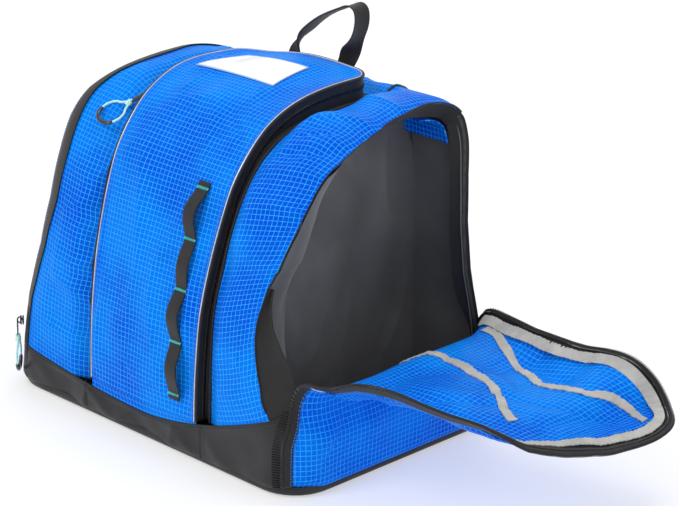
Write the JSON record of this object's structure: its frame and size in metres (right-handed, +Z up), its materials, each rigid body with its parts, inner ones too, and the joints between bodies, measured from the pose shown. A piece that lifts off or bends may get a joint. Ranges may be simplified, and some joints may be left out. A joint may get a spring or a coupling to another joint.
{
  "type": "ski boot bag",
  "caption": "Backpack-style soft bag for ski boots and a helmet, with a fold-down flap on each side, a zipped front lid, a tough base, a grab handle and shoulder straps.",
  "frame": {"origin": "on the floor, under the middle of the base", "axes": "+Z up; the front lid faces -Y and the back panel with its straps faces +Y; +X is the side whose flap lies open"},
  "size_m": [0.8232, 0.4123, 0.4961],
  "materials": {
    "ripstop_blue": "blue ripstop nylon with a fine light grid, slightly shiny",
    "tarpaulin_charcoal": "dark coated tarpaulin, satin, softly creased",
    "webbing_black": "black woven webbing and zip tape, matt",
    "mesh_black": "black spacer mesh, matt",
    "lining_grey": "dark grey woven lining, matt",
    "binding_pale": "pale warm grey binding tape, ruched",
    "cord_mint": "braided cord, mint and white",
    "sleeve_black": "black moulded sleeve, glossy",
    "slider_metal": "dark lacquered zinc, satin",
    "plastic_black": "black moulded plastic, fine grain",
    "window_clear": "near-white translucent film, satin"
  },
  "bodies": {
    "bag_body": {"base_floor": "tarpaulin_charcoal", "base_board": "plastic_black", "base_front_wall": "tarpaulin_charcoal", "base_back_wall": "tarpaulin_charcoal", "front_panel_right": "ripstop_blue", "front_panel_left": "ripstop_blue", "top_yoke": "ripstop_blue", "back_panel": "mesh_black", "divider_right": "lining_grey", "divider_left": "lining_grey", "gusset_frame": "webbing_black", "lower_side_right": "ripstop_blue", "body_zip_tape_right": "webbing_black", "strap_anchor_top_right": "webbing_black", "strap_anchor_bottom_right": "webbing_black", "lower_side_left": "ripstop_blue", "body_zip_tape_left": "webbing_black", "strap_anchor_top_left": "webbing_black", "strap_anchor_bottom_left": "webbing_black"},
    "front_lid_body": {"front_lid": "ripstop_blue", "lid_gusset": "webbing_black", "id_window": "window_clear", "daisy_chain_webbing": "webbing_black"},
    "right_flap_body": {"flap_right": "ripstop_blue", "flap_zip_front_right": "webbing_black", "flap_zip_rear_right": "webbing_black", "flap_binding_right": "binding_pale", "seam_tape_middle_right": "binding_pale", "seam_tape_rear_right": "binding_pale"},
    "right_flap_top_body": {"flap_top_right": "ripstop_blue", "flap_zip_top_right": "webbing_black"},
    "left_flap_body": {"flap_left": "ripstop_blue", "flap_zip_front_left": "webbing_black", "flap_zip_rear_left": "webbing_black", "flap_binding_left": "binding_pale", "seam_tape_middle_left": "binding_pale", "seam_tape_rear_left": "binding_pale"},
    "left_flap_top_body": {"flap_top_left": "ripstop_blue", "flap_zip_top_left": "webbing_black"},
    "front_slider_body": {"slider_front": "slider_metal"},
    "front_pull_body": {"pull_tab_front": "slider_metal", "pull_cord_front": "cord_mint", "pull_sleeve_front": "sleeve_black"},
    "left_slider_body": {"slider_left": "slider_metal"},
    "left_pull_body": {"pull_tab_left": "slider_metal", "pull_cord_left": "cord_mint", "pull_sleeve_left": "sleeve_black"},
    "right_slider_body": {"slider_right": "slider_metal"},
    "right_pull_body": {"pull_tab_right": "slider_metal", "pull_cord_right": "cord_mint", "pull_sleeve_right": "sleeve_black"},
    "grab_handle_body": {"grab_handle": "webbing_black"},
    "right_strap_body": {"strap_pad_right": "mesh_black", "strap_webbing_right": "webbing_black", "ladder_lock_right": "plastic_black"},
    "left_strap_body": {"strap_pad_left": "mesh_black", "strap_webbing_left": "webbing_black", "ladder_lock_left": "plastic_black"}
  },
  "joints": [
    {"name": "front_lid_fold", "type": "hinge", "parent": "bag_body", "child": "front_lid_body", "pos_m": [0, -0.173, 0.05], "axis": [1, 0, 0], "range_deg": [0, 100]},
    {"name": "right_flap_fold", "type": "hinge", "parent": "bag_body", "child": "right_flap_body", "pos_m": [0.263, 0, 0.12], "axis": [0, 1, 0], "range_deg": [-95, 0]},
    {"name": "right_flap_top_fold", "type": "hinge", "parent": "right_flap_body", "child": "right_flap_top_body", "pos_m": [0.47377, 0, 0.11963], "axis": [0, 1, 0], "range_deg": [-50, 0]},
    {"name": "left_flap_fold", "type": "hinge", "parent": "bag_body", "child": "left_flap_body", "pos_m": [-0.263, 0, 0.12], "axis": [0, -1, 0], "range_deg": [0, 95]},
    {"name": "left_flap_top_fold", "type": "hinge", "parent": "left_flap_body", "child": "left_flap_top_body", "pos_m": [-0.245, 0, 0.33], "axis": [0, -1, 0], "range_deg": [0, 50]},
    {"name": "front_slider_travel", "type": "slide", "parent": "front_lid_body", "child": "front_slider_body", "axis": [0, -0.8182, -0.575], "range_m": [0, 0.02]},
    {"name": "left_slider_travel", "type": "slide", "parent": "bag_body", "child": "left_slider_body", "axis": [0, 0, 1], "range_m": [0, 0.03]},
    {"name": "right_slider_travel", "type": "slide", "parent": "bag_body", "child": "right_slider_body", "axis": [0, 0, 1], "range_m": [0, 0.03]},
    {"name": "front_pull_swing", "type": "hinge", "parent": "front_slider_body", "child": "front_pull_body", "pos_m": [-0.11627, -0.05712, 0.38285], "axis": [0, 0.6816, -0.7317], "range_deg": [0, 70]},
    {"name": "left_pull_swing", "type": "hinge", "parent": "left_slider_body", "child": "left_pull_body", "pos_m": [-0.2466, -0.17141, 0.08357], "axis": [-0.7071, 0.7071, 0], "range_deg": [0, 150]},
    {"name": "right_pull_swing", "type": "hinge", "parent": "right_slider_body", "child": "right_pull_body", "pos_m": [0.246, 0.17665, 0.08396], "axis": [0.7071, -0.7071, 0], "range_deg": [0, 150]},
    {"name": "grab_handle_fold", "type": "hinge", "parent": "bag_body", "child": "grab_handle_body", "pos_m": [0, 0.124, 0.411], "axis": [1, 0, 0], "range_deg": [-75, 24]},
    {"name": "right_strap_swing", "type": "hinge", "parent": "bag_body", "child": "right_strap_body", "pos_m": [0.062, 0.187, 0.366], "axis": [0.2375, 0, -0.9714], "range_deg": [-20, 20]},
    {"name": "left_strap_swing", "type": "hinge", "parent": "bag_body", "child": "left_strap_body", "pos_m": [-0.062, 0.187, 0.366], "axis": [-0.2375, 0, -0.9714], "range_deg": [-20, 20]}
  ],
  "couplings": [
    {"joint": "right_flap_top_fold", "follows": "right_flap_fold", "ratio": 0.52632},
    {"joint": "left_flap_top_fold", "follows": "left_flap_fold", "ratio": 0.52632}
  ]
}
